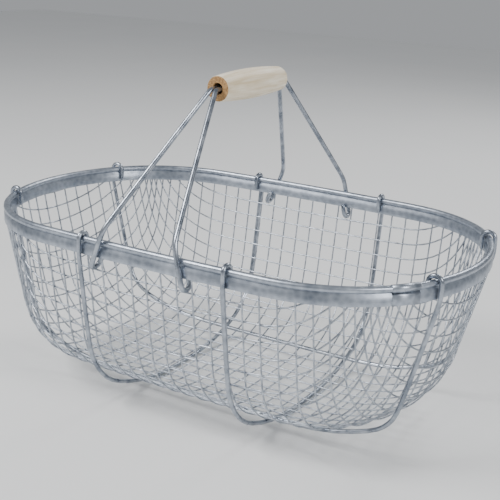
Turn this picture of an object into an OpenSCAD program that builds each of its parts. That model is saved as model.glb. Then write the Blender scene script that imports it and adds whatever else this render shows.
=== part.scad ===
// Wire trug: a square wire mesh pressed into a tub, a folded sheet rim on an edge wire,
// four hooked rib wires under the mesh, and a two-wire handle with a turned wooden grip.
// Millimetres, +Z up, +X along the basket. The origin is on the ground below the centre.

/* [Basket] */
// Length of the basket over the rim centreline
basket_l = 500; // [420:1:580]
// Width of the basket over the rim centreline
basket_w = 314; // [270:1:350]
// Depth from the top of the rim to the mesh floor
depth = 172; // [145:1:190]
// Plan radius of the long sides
side_r = 2400; // [2000:10:3000]
// Plan radius of the ends
end_r = 190; // [175:1:205]
// Plan radius of the corners
corner_r = 130; // [115:1:145]
// Lean of the long walls from upright, degrees
side_lean = 8; // [4:0.5:12]
// Lean of the end walls from upright, degrees
end_lean = 14; // [8:0.5:18]
// Bend radius where a wall turns into the floor
heel_r = 70; // [55:1:80]
// Larger bend radius between the heel and the flat floor
belly_r = 180; // [150:1:220]
// Angle through which the larger bend turns, degrees
belly_turn = 25; // [15:1:30]

/* [Mesh] */
// Pitch of the square mesh
mesh_pitch = 16.5; // [14:0.5:20]
// Diameter of a mesh wire
mesh_wire = 1.4; // [1:0.1:1.8]

/* [Rim] */
// Height of the folded rim strip
rim_h = 17; // [14:0.5:22]
// Outer diameter of the bead round the edge wire
bead_d = 6.4; // [5.6:0.1:8]
// Thickness of the sheet of the rim strip
sheet_t = 0.6; // [0.5:0.05:0.8]
// Clearance between the edge wire and the bead
edge_gap = 0.25; // [0.2:0.05:0.4]
// Clearance between the mesh and each skirt of the rim
skirt_gap = 0.8; // [0.5:0.05:0.8]
// Width of the pinched slit under the bead
pinch_gap = 0.5; // [0.3:0.1:1]

/* [Ribs] */
// Diameter of a rib wire
rib_d = 4.5; // [3.5:0.1:5]
// Place of the left cross rib along the basket
cross_rib_left_x = -72; // [-90:1:-60]
// Place of the right cross rib along the basket
cross_rib_right_x = 84; // [60:1:95]
// Place of the front long rib across the basket
long_rib_front_y = -72; // [-85:1:-50]
// Place of the back long rib across the basket
long_rib_back_y = 88; // [60:1:98]
// Bend radius of the long ribs where they turn up, a little tighter than the mesh
long_heel_r = 44; // [40:1:75]
// Free play of a hook round the rim, and of a rib under the mesh
hook_gap = 0.35; // [0.3:0.05:1]
// Room between the long ribs and the cross ribs under them
crossing_gap = 2; // [1.5:0.1:2.5]
// Straight tip of a hook inside the rim
hook_tip = 12; // [8:1:16]

/* [Handle] */
// Diameter of a handle wire
handle_d = 5; // [4.5:0.1:6]
// Middle of the handle's four feet along the basket
handle_x = -5; // [-15:1:15]
// Place of the grip along the basket, as the handle stands with its play taken up to one side
grip_x = 4; // [-8:1:8]
// Distance between the two handle wires at the rim
handle_spread = 85; // [70:1:110]
// Height of the grip's axis above the rim
handle_h = 131; // [115:1:160]
// Free lift of the handle before its hooks meet the rim
handle_lift = 7; // [5:0.5:9]
// Bend radius of a handle wire at the rim
foot_bend_r = 26; // [20:1:32]
// Bend radius of a handle wire beside the grip
top_bend_r = 9; // [8:1:12]
// Length of the wooden grip
grip_l = 110; // [105:1:145]
// Diameter of the grip at its middle
grip_d = 29; // [26:0.5:33]
// Diameter of the grip at its ends
grip_end_d = 24; // [21:0.5:25]
// Clearance between the two handle wires, and round them in the bore
bore_gap = 0.3; // [0.2:0.1:0.6]

/* [Hidden] */
galvanised = [0.72, 0.74, 0.78];
pale_wood = [0.90, 0.82, 0.68];
half_l = basket_l / 2;
half_w = basket_w / 2;
mesh_r = mesh_wire / 2;
rib_r = rib_d / 2;
handle_r = handle_d / 2;
bead_r = bead_d / 2;
// Height of the rim's top above the ground: the mesh stands on the long ribs, these on the cross ribs
mesh_half = 2 * mesh_r;
long_rib_off = mesh_half + hook_gap + rib_r;
cross_rib_low = long_rib_off + rib_d + crossing_gap;
rim_z = depth + cross_rib_low + rib_r;

// Plan of the rim, one quarter: end arc, corner arc and side arc, each tangent to the next
end_c = [half_l - end_r, 0];
side_c = [0, half_w - side_r];
link = end_c - side_c;
link_l = norm(link);
reach_side = side_r - corner_r;
reach_end = end_r - corner_r;
along = (reach_side^2 - reach_end^2 + link_l^2) / (2 * link_l);
across = sqrt(reach_side^2 - along^2);
corner_c = side_c + link * (along / link_l) + [link[1], -link[0]] * (across / link_l);
end_a = atan2(corner_c[1] - end_c[1], corner_c[0] - end_c[0]);
side_a = atan2(corner_c[1] - side_c[1], corner_c[0] - side_c[0]);

// Distance inside the rim's plan, and the share of the normal that points along the basket
function plan_at(x, y) =
    let (end_v = [x, y] - end_c)
    let (corner_v = [x, y] - corner_c)
    let (side_v = [x, y] - side_c)
    let (on_end = end_v[0] > 0 && atan2(end_v[1], end_v[0]) < end_a)
    let (on_side = atan2(side_v[1], side_v[0]) > side_a)
    let (v = on_end ? end_v : on_side ? side_v : corner_v)
    let (r = on_end ? end_r : on_side ? side_r : corner_r)
    [r - norm(v), v[0] / max(norm(v), 0.001)];

// Signed distance from the tub's surface at a depth z below the rim, positive inside
function inside(p) =
    let (plan = plan_at(abs(p[0]), abs(p[1])))
    let (d = plan[0])
    let (z = p[2])
    let (lean = side_lean + (end_lean - side_lean) * plan[1]^2)
    let (wall = depth - rim_h - belly_r * (1 - cos(belly_turn)) - heel_r * (cos(belly_turn) - sin(lean)))
    let (foot = [wall * tan(lean), -rim_h - wall])
    let (heel_c = foot + heel_r * [cos(lean), sin(lean)])
    let (belly_c = heel_c + (belly_r - heel_r) * [sin(belly_turn), cos(belly_turn)])
    let (heel_v = heel_c - [d, z])
    let (belly_v = belly_c - [d, z])
    let (turn = atan2(heel_v[0], heel_v[1]))
    turn > 90 - lean || z > foot[1]
        ? (z > -rim_h ? d : d * cos(lean) + (z + rim_h) * sin(lean))
        : turn > belly_turn ? heel_r - norm(heel_v)
        : belly_v[0] > 0 ? belly_r - norm(belly_v)
        : z + depth;

function unit(v) = v / norm(v);
probe = 0.05;
function normal_at(p) =
    unit([for (k = [0:2]) let (e = [for (m = [0:2]) m == k ? probe : 0]) inside(p + e) - inside(p - e)]);

// A point at a set radius from m, in the plane of the unit vectors u and v, found on the surface
function on_surface(m, r, u, v, a0, a1, f0, n) =
    let (f1 = inside(m + r * (cos(a1) * u + sin(a1) * v)))
    n == 0 || abs(f1) < 0.001 || abs(f1 - f0) < 0.000001
        ? m + r * (cos(a1) * u + sin(a1) * v)
        : on_surface(m, r, u, v, a1, a1 - max(-25, min(25, f1 * (a1 - a0) / (f1 - f0))), f1, n - 1);
function seek(m, r, u, v, a) =
    on_surface(m, r, u, v, a, a + 4, inside(m + r * (cos(a) * u + sin(a) * v)), 12);

// The mesh keeps its pitch along both wires wherever it lies, as a pressed square mesh does.
// The middle wires are stepped first, then each knot is found one pitch from its two neighbours.
function middle_wire(dir, count) =
    [for (k = 0, p = [0, 0, -depth], q = [0, 0, -depth] - dir; k <= count;
          w = p, u = unit(p - q), p = seek(p, mesh_pitch, u, cross(cross(dir, [0, 0, 1]), u), 0),
          q = w, k = k + 1) p];
least_reach = 0.3 * mesh_pitch;
function knot(a, b, back) =
    let (m = (a + b) / 2)
    let (h = unit(b - a))
    let (e = m - back)
    let (u = unit(e - h * (e * h)))
    let (r = sqrt(max(mesh_pitch^2 - (b - a) * (b - a) / 4, least_reach^2)))
    seek(m, r, u, cross(u, h), 0);
function next_row(row, start) =
    [for (k = 0, p = start; k < len(row);
          p = k + 1 < len(row) ? knot(p, row[k + 1], row[k]) : p, k = k + 1) p];
knots_l = ceil((half_l + depth) / mesh_pitch);
knots_w = ceil((half_w + depth) / mesh_pitch);
first_row = middle_wire([1, 0, 0], knots_l);
first_column = middle_wire([0, 1, 0], knots_w);
net = [for (j = 0, row = first_row; j <= knots_w;
            row = j < knots_w ? next_row(row, first_column[j + 1]) : row, j = j + 1) row];

// A wire ends inside the rim, where it crosses this height
mesh_held = 7;
mesh_top = -rim_h + mesh_held;
// Knots nearer than this to a wire's end, or to the crease at the rim's foot, are passed over
least_step = 2;
knot_top = mesh_top - least_step;
function in_reach(points) =
    [for (k = 0, ok = points[0][2] < knot_top; k < len(points) && ok;
          k = k + 1, ok = k < len(points) && points[min(k, len(points) - 1)][2] < knot_top) points[k]];
function at_height(a, b, h) = a + (b - a) * ((h - a[2]) / (b[2] - a[2]));
function settled(p) = p - normal_at(p) * inside(p);
function wire_end(a, b) =
    concat(a[2] < -rim_h - least_step ? [settled(at_height(a, b, -rim_h))] : [], [settled(at_height(a, b, mesh_top))]);
function trimmed(points) =
    let (kept = in_reach(points))
    let (n = len(kept))
    n < 1 || n >= len(points) ? kept
        : concat(kept, wire_end(kept[n - 1], points[n]));
function flipped(p, sx, sy) = [p[0] * sx, p[1] * sy, p[2]];
function both_ways(half, sx, sy, tx, ty) =
    concat([for (k = [len(half) - 1:-1:1]) flipped(half[k], sx, sy)], [for (p = half) flipped(p, tx, ty)]);

// A ring of the wire is kept only where the wire has bent since the last one
chord_error = 0.13;
function turned(p, k, last) =
    let (a = unit(p[k] - p[last]))
    let (b = unit(p[k + 1] - p[k]))
    norm(p[k + 1] - p[last]) * norm(cross(a, b)) / 4 > chord_error;
function thinned(p) =
    [for (k = 0, last = 0, keep = true; k < len(p);
          k = k + 1,
          keep = k >= len(p) - 1 || (k > last && k < len(p) - 1 && turned(p, k, last)),
          last = keep && k < len(p) - 1 ? k : last)
        if (keep) p[k]];

// A tube of four sides along a wire of the mesh, laid to one side of the mesh's middle surface
ring_r = mesh_r * 1.18;
function ring_at(p, k, side) =
    let (n0 = normal_at(p[k]))
    let (t = unit(p[min(k + 1, len(p) - 1)] - p[max(k - 1, 0)]))
    let (n = unit(n0 - t * (n0 * t)))
    let (s = cross(t, n))
    let (c = p[k] + n0 * side * mesh_r)
    [for (a = [45:90:315]) c + ring_r * (cos(a) * n + sin(a) * s)];
// Joins rings of points into one closed skin, with flat ends or as an endless loop
module tube(rings, endless = false) {
    n = len(rings);
    m = len(rings[0]);
    walls = [for (k = [0:endless ? n - 1 : n - 2]) for (q = [0:m - 1])
        let (a = m * k + q) let (b = m * k + (q + 1) % m)
        let (c = m * ((k + 1) % n) + q) let (d = m * ((k + 1) % n) + (q + 1) % m)
        each [[a, c, d], [a, d, b]]];
    ends = endless ? [] : [[for (q = [0:m - 1]) q], [for (q = [1:m]) m * n - q]];
    polyhedron([for (ring = rings) each ring], concat(walls, ends));
}
module mesh_tube(p, side) {
    tube([for (k = [0:len(p) - 1]) ring_at(p, k, side)]);
}

module at_rim() {
    translate([0, 0, rim_z]) children();
}

module mesh_lengthwise() {
    color(galvanised) at_rim()
        for (j = [0:knots_w]) {
            half = trimmed(net[j]);
            if (len(half) > 1) {
                mesh_tube(thinned(both_ways(half, -1, 1, 1, 1)), 1);
                if (j > 0) mesh_tube(thinned(both_ways(half, -1, -1, 1, -1)), 1);
            }
        }
}

module mesh_crosswise() {
    color(galvanised) at_rim()
        for (i = [0:knots_l]) {
            half = trimmed([for (row = net) row[i]]);
            if (len(half) > 1) {
                mesh_tube(thinned(both_ways(half, 1, -1, 1, 1)), -1);
                if (i > 0) mesh_tube(thinned(both_ways(half, -1, -1, -1, 1)), -1);
            }
        }
}

// Directions round the rim, and the point of the rim's centreline that faces each
plan_angles = concat([for (k = [0:4]) end_a * k / 5], [for (k = [0:10]) end_a + (side_a - end_a) * k / 11],
    [for (k = [0:4]) side_a + (90 - side_a) * k / 4]);
last_angle = len(plan_angles) - 1;
half_angles = concat([for (k = [0:last_angle - 1]) plan_angles[k]],
    [for (k = [last_angle:-1:1]) 180 - plan_angles[k]]);
function rim_point(a) =
    let (b = a % 180 > 90 ? 180 - a % 180 : a % 180)
    let (q = b < end_a ? end_c + end_r * [cos(b), sin(b)]
        : b < side_a ? corner_c + corner_r * [cos(b), sin(b)] : side_c + side_r * [cos(b), sin(b)])
    [q[0] * (cos(a) < 0 ? -1 : 1), q[1] * (a > 180 ? -1 : 1)];
// Sweeps a closed outline round the rim: x outward from the rim's centreline, y up
module round_rim(outline) {
    tube([for (a = concat(half_angles, [for (h = half_angles) h + 180])) let (q = rim_point(a))
        [for (w = outline) [q[0] + w[0] * cos(a), q[1] + w[0] * sin(a), w[1]]]], endless = true);
}

// The folded strip in section: right skirt, round the bead, left skirt, and back inside it
neck_z = -bead_d;
skirt_in = mesh_half + skirt_gap;
function bead_arc(r, half_slit, n) =
    let (a = asin(half_slit / r))
    [for (k = [0:n]) let (b = 270 - a - (360 - 2 * a) * k / n) [-r * cos(b), r * sin(b) - bead_r]];
skirt_outside = [[pinch_gap / 2 + sheet_t, neck_z], [skirt_in + sheet_t, neck_z - 3.5 * sheet_t],
    [skirt_in + sheet_t, -rim_h]];
skirt_inside = [[skirt_in, -rim_h], [skirt_in, neck_z - 4 * sheet_t], [pinch_gap / 2, neck_z - sheet_t]];
function left_of(outline) = [for (k = [len(outline) - 1:-1:0]) [-outline[k][0], outline[k][1]]];
bead_outside = bead_arc(bead_r, pinch_gap / 2 + sheet_t, 10);
bead_inside = bead_arc(bead_r - sheet_t, pinch_gap / 2, 8);
band_outline = concat(skirt_outside, skirt_inside, bead_inside, left_of(skirt_inside),
    left_of(skirt_outside), [for (k = [len(bead_outside) - 1:-1:0]) bead_outside[k]]);
module rim_band() {
    color(galvanised) at_rim() round_rim(band_outline);
}
module rim_edge_wire() {
    r = bead_r - sheet_t - edge_gap;
    color(galvanised) at_rim() round_rim([for (f = [360:-45:45]) [r * cos(f), r * sin(f) - bead_r]]);
}

// Path of a bent wire in the plane of x and z, as points with headings: 0 is upward, 90 is +x.
// Its steps are ["line", length] and ["arc", radius, angle], which bends clockwise.
bend_fine = 18;
function wire_path(steps, p, a, k = 0) =
    k == len(steps) ? [[p, a]]
        : steps[k][0] == "line"
            ? concat([[p, a]], wire_path(steps, p + steps[k][1] * [sin(a), cos(a)], a, k + 1))
            : let (r = steps[k][1]) let (turn = steps[k][2])
              let (c = p + r * [cos(a), -sin(a)]) let (n = ceil(turn / bend_fine))
              concat([for (m = [0:n - 1]) let (b = a + turn * m / n) [c - r * [cos(b), -sin(b)], b]],
                  wire_path(steps, c - r * [cos(a + turn), -sin(a + turn)], a + turn, k + 1));
// A round wire along such a half path and on along its mirror image
wire_sides = 10;
module bent_wire(r, half) {
    path = concat(half, [for (k = [len(half) - 2:-1:0]) [[-half[k][0][0], half[k][0][1]], 180 - half[k][1]]]);
    tube([for (w = path) [for (f = [0:360 / wire_sides:359])
        [w[0][0] + r * cos(f) * cos(w[1]), r * sin(f), w[0][1] - r * cos(f) * sin(w[1])]]]);
}

// Radius of the slight bend of a rib below the rim
rib_bend_r = 10;
// Half of a rib, from the tip inside the rim, over the bead, down the wall to the floor's middle.
// off is the distance of its centreline outside the mesh, drop an added depth at the floor.
function rib_steps(hook, reach, lean, off, drop, heel) =
    let (belly = belly_r + off)
    let (wall = depth + off + drop - rim_h - rib_bend_r * sin(lean)
        - belly * (1 - cos(belly_turn)) - heel * (cos(belly_turn) - sin(lean)))
    let (wall_l = wall / cos(lean))
    let (run = reach + hook - rib_bend_r * (1 - cos(lean)) - wall_l * sin(lean)
        - heel * (cos(lean) - sin(belly_turn)) - belly * sin(belly_turn))
    [["line", hook_tip], ["arc", hook, 180], ["line", rim_h - bead_r],
     ["arc", rib_bend_r, lean], ["line", wall_l], ["arc", heel, 90 - lean - belly_turn],
     ["arc", belly, belly_turn], ["line", run]];

// A rib with its hooks over the rim at a distance reach to each side of the middle, along x
module placed_rib(reach, lean, off, drop, heel, hook) {
    bent_wire(rib_r, wire_path(rib_steps(hook, reach, lean, off, drop, heel),
        [reach - hook, -bead_r - hook_tip], 0));
}

cross_hook = bead_r + hook_gap + rib_r;
function side_y(x) = side_c[1] + sqrt(side_r^2 - x^2);
module rib_cross(x) {
    color(galvanised) at_rim() translate([x, 0, 0])
        rotate([0, 0, 90])
            placed_rib(side_y(x), side_lean, cross_hook, cross_rib_low - cross_hook,
                heel_r + cross_hook, cross_hook);
}
module rib_cross_left() rib_cross(cross_rib_left_x);
module rib_cross_right() rib_cross(cross_rib_right_x);

// Reach of the rim along the basket at a place across it, and the share of its normal there
function corner_x(y) = corner_c[0] + sqrt(corner_r^2 - (y - corner_c[1])^2);
function end_x(y) = end_c[0] + sqrt(end_r^2 - y^2);
function rim_x(y) = y < end_r * sin(end_a) ? end_x(y) : corner_x(y);
// Height of the mesh's middle surface under the basket's middle, at a place across it
function floor_z(y, z, n) = n == 0 ? z : floor_z(y, z - inside([0, y, z]), n - 1);
module rib_long(y) {
    reach = rim_x(abs(y));
    share = plan_at(reach, abs(y))[1];
    hook = cross_hook / share;
    lean = side_lean + (end_lean - side_lean) * share^2;
    off = long_rib_off;
    low = floor_z(y, -depth, 12);
    drop = off / normal_at([0, y, low])[2] - off - low - depth;
    color(galvanised) at_rim() translate([0, y, 0])
        placed_rib(reach, atan(tan(lean) / share), off, drop, long_heel_r, hook);
}
module rib_long_front() rib_long(long_rib_front_y);
module rib_long_back() rib_long(long_rib_back_y);

// Handle wire, drawn in its own plane with x across the basket and z up the leaning plane.
// The hook comes up inside the rim, turns under it and runs up outside it to the grip.
wire_x = handle_r + bore_gap / 2;
foot_x = handle_spread / 2;
function plane_a(side) = atan2(foot_x - wire_x + side * (handle_x - grip_x), handle_h);
function plane_h(side) = handle_h / cos(plane_a(side));
shank_off = bead_r + hook_gap + handle_r;
hook_u = shank_off;
hook_room = sqrt((hook_u - handle_r)^2 - (skirt_in + sheet_t)^2) - hook_gap;
function hook_z(side) = (hook_room - rim_h - handle_lift) / cos(plane_a(side));
top_half = grip_l / 2 + top_bend_r / 3;
foot_y = side_y(abs(handle_x) + foot_x) + shank_off;
start_h = bead_r;
function leg_rise(side, a) = plane_h(side) - start_h - foot_bend_r * sin(a) - top_bend_r * (1 - sin(a));
function leg_lean(side, a, n) =
    n == 0 ? a : leg_lean(side,
        atan2(foot_y - top_half - foot_bend_r * (1 - cos(a)) - top_bend_r * cos(a), leg_rise(side, a)), n - 1);
hook_end = 9;

// From the tip inside the rim down, round under the band, up outside it and over to the grip
function handle_half(side) =
    let (leg_a = leg_lean(side, 35, 12))
    wire_path([["line", hook_end], ["arc", hook_u, 180], ["line", start_h - hook_z(side)],
        ["arc", foot_bend_r, leg_a], ["line", leg_rise(side, leg_a) / cos(leg_a)],
        ["arc", top_bend_r, 90 - leg_a], ["line", top_half]],
        [2 * hook_u - foot_y, hook_z(side) + hook_end], 180);
module handle_wire(side) {
    color(galvanised) at_rim() translate([handle_x + side * foot_x, 0, 0]) rotate([0, 0, 90])
        rotate([-side * plane_a(side), 0, 0])
            bent_wire(handle_r, handle_half(side));
}
module handle_wire_left() handle_wire(-1);
module handle_wire_right() handle_wire(1);

bore_r = 2 * handle_r + 1.5 * bore_gap;
crown_r = (grip_l^2 / 4 + ((grip_d - grip_end_d) / 2)^2) / (grip_d - grip_end_d);
module grip() {
    color(pale_wood) at_rim() translate([grip_x, 0, handle_h]) rotate([90, 0, 0])
        rotate_extrude($fn = 64) difference() {
            intersection() {
                translate([0, -grip_l / 2]) square([grip_d / 2, grip_l]);
                translate([grip_d / 2 - crown_r, 0]) circle(r = crown_r, $fn = 720);
            }
            translate([0, -grip_l / 2 - 1]) square([bore_r, grip_l + 2]);
        }
}

rim_band();
rim_edge_wire();
mesh_lengthwise();
mesh_crosswise();
rib_long_front();
rib_long_back();
rib_cross_left();
rib_cross_right();
handle_wire_left();
handle_wire_right();
grip();
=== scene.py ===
import math
import bmesh
import bpy
from mathutils import Matrix, Vector


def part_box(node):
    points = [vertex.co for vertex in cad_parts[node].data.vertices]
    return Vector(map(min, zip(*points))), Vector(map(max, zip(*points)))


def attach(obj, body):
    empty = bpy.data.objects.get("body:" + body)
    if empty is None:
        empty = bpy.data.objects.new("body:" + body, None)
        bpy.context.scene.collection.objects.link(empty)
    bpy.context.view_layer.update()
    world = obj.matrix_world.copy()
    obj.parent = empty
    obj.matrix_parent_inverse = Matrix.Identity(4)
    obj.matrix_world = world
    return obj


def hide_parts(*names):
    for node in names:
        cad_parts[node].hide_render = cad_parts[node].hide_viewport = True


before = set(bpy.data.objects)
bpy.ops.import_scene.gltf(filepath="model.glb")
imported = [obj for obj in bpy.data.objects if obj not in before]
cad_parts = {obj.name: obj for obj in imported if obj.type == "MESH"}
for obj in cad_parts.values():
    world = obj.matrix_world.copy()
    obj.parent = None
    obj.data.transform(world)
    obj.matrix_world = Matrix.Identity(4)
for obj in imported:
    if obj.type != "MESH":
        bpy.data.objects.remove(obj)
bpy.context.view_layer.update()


def srgb(code):
    """Linear colour of an sRGB hex code such as "#c8ccd0"."""
    out = []
    for k in (1, 3, 5):
        c = int(code[k:k + 2], 16) / 255
        out.append(c / 12.92 if c <= 0.04045 else ((c + 0.055) / 1.055) ** 2.4)
    return out + [1.0]


def add(material, kind, inputs=None, **settings):
    """Adds a node, sets its properties and fills its inputs with values or with other sockets."""
    node = material.node_tree.nodes.new(kind)
    for name, value in settings.items():
        setattr(node, name, value)
    for key, value in (inputs or {}).items():
        if isinstance(value, bpy.types.NodeSocket):
            material.node_tree.links.new(value, node.inputs[key])
        else:
            node.inputs[key].default_value = value
    return node


def new_material(name):
    """An empty node material with its output node."""
    material = bpy.data.materials.new(name)
    material.use_nodes = True
    material.node_tree.nodes.clear()
    return material


# The tub is one square mesh of thin galvanised wire, woven flat, welded by its zinc at
# every crossing and pressed over a former, so the wires keep their pitch and only shear.
mesh_zinc = new_material("Galvanised mesh wire, bright zinc")
place = add(mesh_zinc, "ShaderNodeTexCoord")
drips = add(mesh_zinc, "ShaderNodeTexNoise", {
    "Vector": place.outputs["Object"], "Scale": 160.0, "Detail": 3.0})
tone = add(mesh_zinc, "ShaderNodeValToRGB", {"Fac": drips.outputs["Fac"]})
tone.color_ramp.elements[0].position = 0.3
tone.color_ramp.elements[0].color = srgb("#868d98")
tone.color_ramp.elements[1].position = 0.7
tone.color_ramp.elements[1].color = srgb("#ccd2da")
gloss = add(mesh_zinc, "ShaderNodeMapRange", {
    "Value": drips.outputs["Fac"], "To Min": 0.24, "To Max": 0.42})
lumps = add(mesh_zinc, "ShaderNodeBump", {
    "Height": drips.outputs["Fac"], "Strength": 0.25, "Distance": 0.0002})
coat = add(mesh_zinc, "ShaderNodeBsdfPrincipled", {
    "Base Color": tone.outputs["Color"], "Metallic": 0.95,
    "Roughness": gloss.outputs["Result"], "Normal": lumps.outputs["Normal"]})
add(mesh_zinc, "ShaderNodeOutputMaterial", {"Surface": coat.outputs["BSDF"]})


def drawn_copy(node, body, material):
    """A welded copy of a CAD node's skin that stands for it, for rounding or smoothing."""
    skin = bmesh.new()
    skin.from_mesh(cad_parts[node].data)
    skin.transform(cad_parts[node].matrix_world)
    bmesh.ops.remove_doubles(skin, verts=skin.verts, dist=0.00002)
    bmesh.ops.join_triangles(
        skin, faces=skin.faces, angle_face_threshold=math.radians(30), angle_shape_threshold=math.radians(50))
    data = bpy.data.meshes.new(node + "_made")
    skin.to_mesh(data)
    skin.free()
    for face in data.polygons:
        face.use_smooth = True
    data.materials.append(material)
    piece = bpy.data.objects.new(node + "_made", data)
    bpy.context.scene.collection.objects.link(piece)
    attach(piece, body)
    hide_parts(node)
    return piece


def rounded(piece, growth):
    """Rounds a many-sided wire and gives back the thickness that the rounding takes."""
    rounder = piece.modifiers.new("round section", "SUBSURF")
    rounder.levels = 1
    rounder.render_levels = 1
    thicker = piece.modifiers.new("wire gauge", "DISPLACE")
    thicker.strength = growth
    thicker.mid_level = 0.0


mesh_growth = 0.00024
for family in ("mesh_lengthwise", "mesh_crosswise"):
    rounded(drawn_copy(family, "basket", mesh_zinc), mesh_growth)

# A strip of hot-dip galvanised sheet, folded over the edge wire into a round bead, pinched
# under it and closed on both faces of the mesh. Its spangled zinc is bluish and half bright.
rim_zinc = new_material("Hot-dip galvanised sheet, spangled")
place = add(rim_zinc, "ShaderNodeTexCoord")
spangle = add(rim_zinc, "ShaderNodeTexVoronoi", {"Vector": place.outputs["Object"], "Scale": 190.0})
cloud = add(rim_zinc, "ShaderNodeTexNoise", {
    "Vector": place.outputs["Object"], "Scale": 26.0, "Detail": 5.0})
blend = add(rim_zinc, "ShaderNodeMix", {
    0: 0.35, 2: cloud.outputs["Fac"], 3: spangle.outputs["Distance"]})
tone = add(rim_zinc, "ShaderNodeValToRGB", {"Fac": blend.outputs[0]})
tone.color_ramp.elements[0].position = 0.2
tone.color_ramp.elements[0].color = srgb("#7f8896")
tone.color_ramp.elements[1].position = 0.75
tone.color_ramp.elements[1].color = srgb("#c2c9d3")
gloss = add(rim_zinc, "ShaderNodeMapRange", {
    "Value": cloud.outputs["Fac"], "To Min": 0.26, "To Max": 0.48})
dents = add(rim_zinc, "ShaderNodeBump", {
    "Height": cloud.outputs["Fac"], "Strength": 0.3, "Distance": 0.0006})
coat = add(rim_zinc, "ShaderNodeBsdfPrincipled", {
    "Base Color": tone.outputs["Color"], "Metallic": 0.95,
    "Roughness": gloss.outputs["Result"], "Normal": dents.outputs["Normal"]})
add(rim_zinc, "ShaderNodeOutputMaterial", {"Surface": coat.outputs["BSDF"]})
strip = drawn_copy("rim_band", "basket", rim_zinc)
strip.data.set_sharp_from_angle(angle=math.radians(40))

# The strip's ends lap at the front right corner: the upper end stands proud by its thickness.
lap_at = Vector((0.222, -0.098, 0))
lap_half = 0.017
lap_rise = 0.00045
skin = bmesh.new()
skin.from_mesh(strip.data)
far = [f for f in skin.faces
       if (Vector((f.calc_center_median().x, f.calc_center_median().y, 0)) - lap_at).length > lap_half]
bmesh.ops.delete(skin, geom=far, context="FACES")
skin.normal_update()
for vertex in skin.verts:
    vertex.co += vertex.normal * lap_rise
data = bpy.data.meshes.new("rim_lap")
skin.to_mesh(data)
skin.free()
data.materials.append(rim_zinc)
rim_lap = bpy.data.objects.new("rim_lap", data)
bpy.context.scene.collection.objects.link(rim_lap)
edge = rim_lap.modifiers.new("sheet edge", "SOLIDIFY")
edge.thickness = 0.0005
edge.offset = -1.0
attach(rim_lap, "basket")

# Thick galvanised wire, drawn and cut to length: the edge wire inside the bead, four ribs
# hooked over the rim, and two handle wires hooked under it. The drawing leaves fine streaks.
wire_zinc = new_material("Galvanised drawn wire, half bright")
place = add(wire_zinc, "ShaderNodeTexCoord")
streaks = add(wire_zinc, "ShaderNodeTexNoise", {
    "Vector": place.outputs["Object"], "Scale": 90.0, "Detail": 6.0})
tone = add(wire_zinc, "ShaderNodeValToRGB", {"Fac": streaks.outputs["Fac"]})
tone.color_ramp.elements[0].position = 0.3
tone.color_ramp.elements[0].color = srgb("#727a86")
tone.color_ramp.elements[1].position = 0.72
tone.color_ramp.elements[1].color = srgb("#c0c6cf")
gloss = add(wire_zinc, "ShaderNodeMapRange", {
    "Value": streaks.outputs["Fac"], "To Min": 0.2, "To Max": 0.38})
marks = add(wire_zinc, "ShaderNodeBump", {
    "Height": streaks.outputs["Fac"], "Strength": 0.2, "Distance": 0.0003})
coat = add(wire_zinc, "ShaderNodeBsdfPrincipled", {
    "Base Color": tone.outputs["Color"], "Metallic": 0.97,
    "Roughness": gloss.outputs["Result"], "Normal": marks.outputs["Normal"]})
add(wire_zinc, "ShaderNodeOutputMaterial", {"Surface": coat.outputs["BSDF"]})
wire_growth = 0.00006
for name in ("rim_edge_wire", "rib_long_front", "rib_long_back", "rib_cross_left", "rib_cross_right"):
    rounded(drawn_copy(name, "basket", wire_zinc), wire_growth)
for name in ("handle_wire_left", "handle_wire_right"):
    rounded(drawn_copy(name, "handle", wire_zinc), wire_growth)

# A barrel of pale wood, turned, bored from end to end for the two wires, sanded, with its
# sharp ends eased. Its end faces are painted dark brown as painted shade. It is threaded on the wires before
# they are bent.
grip_wood = new_material("Turned pale wood, sanded")
place = add(grip_wood, "ShaderNodeTexCoord")
along = add(grip_wood, "ShaderNodeMapping", {
    "Vector": place.outputs["Object"], "Scale": (1.0, 0.06, 1.0)})
grain = add(grip_wood, "ShaderNodeTexNoise", {
    "Vector": along.outputs["Vector"], "Scale": 420.0, "Detail": 8.0})
rings = add(grip_wood, "ShaderNodeTexNoise", {
    "Vector": along.outputs["Vector"], "Scale": 90.0, "Detail": 3.0})
mixed = add(grip_wood, "ShaderNodeMix", {0: 0.45, 2: grain.outputs["Fac"], 3: rings.outputs["Fac"]})
tone = add(grip_wood, "ShaderNodeValToRGB", {"Fac": mixed.outputs[0]})
tone.color_ramp.elements[0].position = 0.35
tone.color_ramp.elements[0].color = srgb("#d9c5a0")
tone.color_ramp.elements[1].position = 0.62
tone.color_ramp.elements[1].color = srgb("#f7eeda")
fibres = add(grip_wood, "ShaderNodeBump", {
    "Height": grain.outputs["Fac"], "Strength": 0.25, "Distance": 0.0002})
body = add(grip_wood, "ShaderNodeBsdfPrincipled", {
    "Base Color": tone.outputs["Color"], "Roughness": 0.5, "Normal": fibres.outputs["Normal"]})
add(grip_wood, "ShaderNodeOutputMaterial", {"Surface": body.outputs["BSDF"]})

# Painted shade: the grip's end faces, eased edges and bore mouths are painted dark brown to stand in for
# shade on the ends.
painted_shade_ends = new_material("Painted shade on the grip ends, brown")
place = add(painted_shade_ends, "ShaderNodeTexCoord")
pores = add(painted_shade_ends, "ShaderNodeTexNoise", {
    "Vector": place.outputs["Object"], "Scale": 900.0, "Detail": 6.0})
tone = add(painted_shade_ends, "ShaderNodeValToRGB", {"Fac": pores.outputs["Fac"]})
tone.color_ramp.elements[0].position = 0.3
tone.color_ramp.elements[0].color = srgb("#7d5a36")
tone.color_ramp.elements[1].position = 0.7
tone.color_ramp.elements[1].color = srgb("#c79d68")
body = add(painted_shade_ends, "ShaderNodeBsdfPrincipled", {
    "Base Color": tone.outputs["Color"], "Roughness": 0.75})
add(painted_shade_ends, "ShaderNodeOutputMaterial", {"Surface": body.outputs["BSDF"]})

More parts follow.
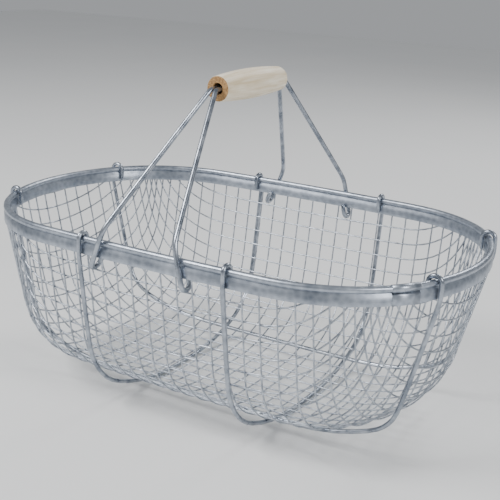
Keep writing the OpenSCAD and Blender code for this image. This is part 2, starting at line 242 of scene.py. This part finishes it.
low, high = [Vector(corner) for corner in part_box("grip")]
middle = (low + high) / 2
half_long = (high.y - low.y) / 2
widest = (high.x - low.x) / 2
end_radius = 0.012
bore = 0.00545
ease = 0.0012
bore_seen = 0.018
stations = 24
profile = [(-half_long + bore_seen, bore), (-half_long, bore)]
profile += [(-half_long, end_radius - ease), (-half_long + 0.3 * ease, end_radius - 0.3 * ease)]
for k in range(stations + 1):
    share = -1 + 2 * k / stations
    profile.append((share * (half_long - ease), widest - (widest - end_radius) * share * share))
profile += [(half_long - 0.3 * ease, end_radius - 0.3 * ease), (half_long, end_radius - ease)]
profile += [(half_long, bore), (half_long - bore_seen, bore)]
sides = 72
end_rows = 3
verts = []
faces = []
for y, r in profile:
    for k in range(sides):
        a = 2 * math.pi * k / sides
        verts.append((middle.x + r * math.cos(a), middle.y + y, middle.z + r * math.sin(a)))
for row in range(len(profile) - 1):
    for k in range(sides):
        a = row * sides + k
        b = row * sides + (k + 1) % sides
        faces.append((a, b, b + sides, a + sides))
data = bpy.data.meshes.new("turned_grip")
data.from_pydata(verts, [], faces)
data.materials.append(grip_wood)
data.materials.append(painted_shade_ends)
for face in data.polygons:
    face.use_smooth = True
    row = face.index // sides
    # The end rows (bore mouth, end face and eased edge) get the dark brown painted shade and flat shading.
    if row < end_rows or row >= len(profile) - 1 - end_rows:
        face.material_index = 1
        face.use_smooth = False
turned_grip = bpy.data.objects.new("turned_grip", data)
bpy.context.scene.collection.objects.link(turned_grip)
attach(turned_grip, "grip")
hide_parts("grip")

# A plain pale studio floor under soft light: one large lamp above and to the left, a weaker
# one at the right, and a pale surround for the zinc to reflect.
paper = new_material("Pale studio paper, matt")
place = add(paper, "ShaderNodeTexCoord")
fibre = add(paper, "ShaderNodeTexNoise", {
    "Vector": place.outputs["Object"], "Scale": 3.0, "Detail": 2.0})
tone = add(paper, "ShaderNodeValToRGB", {"Fac": fibre.outputs["Fac"]})
tone.color_ramp.elements[0].color = srgb("#eceded")
tone.color_ramp.elements[1].color = srgb("#f2f2f1")
sheet = add(paper, "ShaderNodeBsdfPrincipled", {"Base Color": tone.outputs["Color"], "Roughness": 0.9})
add(paper, "ShaderNodeOutputMaterial", {"Surface": sheet.outputs["BSDF"]})
data = bpy.data.meshes.new("studio_floor")
data.from_pydata([(-4, -4, 0), (4, -4, 0), (4, 4, 0), (-4, 4, 0)], [], [(0, 1, 2, 3)])
data.materials.append(paper)
studio_floor = bpy.data.objects.new("studio_floor", data)
bpy.context.scene.collection.objects.link(studio_floor)

surround = bpy.data.worlds.new("studio")
surround.use_nodes = True
surround.node_tree.nodes["Background"].inputs["Color"].default_value = srgb("#eef1f5")
surround.node_tree.nodes["Background"].inputs["Strength"].default_value = 0.42
bpy.context.scene.world = surround

for name, spot, width, power in (
        ("key lamp", (-1.1, -1.3, 1.9), 0.9, 52.0),
        ("side lamp", (1.7, -0.5, 1.1), 0.6, 16.0),
        ("back lamp", (0.3, 1.7, 1.5), 0.7, 14.0)):
    lamp = bpy.data.lights.new(name, "AREA")
    lamp.size = width
    lamp.energy = power
    lamp_object = bpy.data.objects.new(name, lamp)
    lamp_object.location = spot
    aim = Vector((0, 0, 0.12)) - Vector(spot)
    lamp_object.rotation_euler = aim.to_track_quat("-Z", "Y").to_euler()
    bpy.context.scene.collection.objects.link(lamp_object)

# Fitted to the rim, the hooks and the outline in the photograph: the basket is seen from the
# front right, a little from above, with a small roll.
turn = math.radians(30.864)
rise = math.radians(17.166)
roll = math.radians(2.359)
rim_top = Vector((0, 0, 0.18475))
back = Vector((math.sin(turn) * math.cos(rise), -math.cos(turn) * math.cos(rise), math.sin(rise)))
level = Vector((math.cos(turn), math.sin(turn), 0))
upward = back.cross(level)
right = level * math.cos(roll) + upward * math.sin(roll)
up = upward * math.cos(roll) - level * math.sin(roll)
spot = rim_top + right * 0.00954 + up * -0.03652 + back * 0.99155
lens = bpy.data.cameras.new("photo camera")
lens.lens = 71.0
lens.sensor_width = 36.0
camera = bpy.data.objects.new("photo camera", lens)
camera.matrix_world = Matrix((
    (right.x, up.x, back.x, spot.x),
    (right.y, up.y, back.y, spot.y),
    (right.z, up.z, back.z, spot.z),
    (0, 0, 0, 1)))
bpy.context.scene.collection.objects.link(camera)
bpy.context.scene.camera = camera
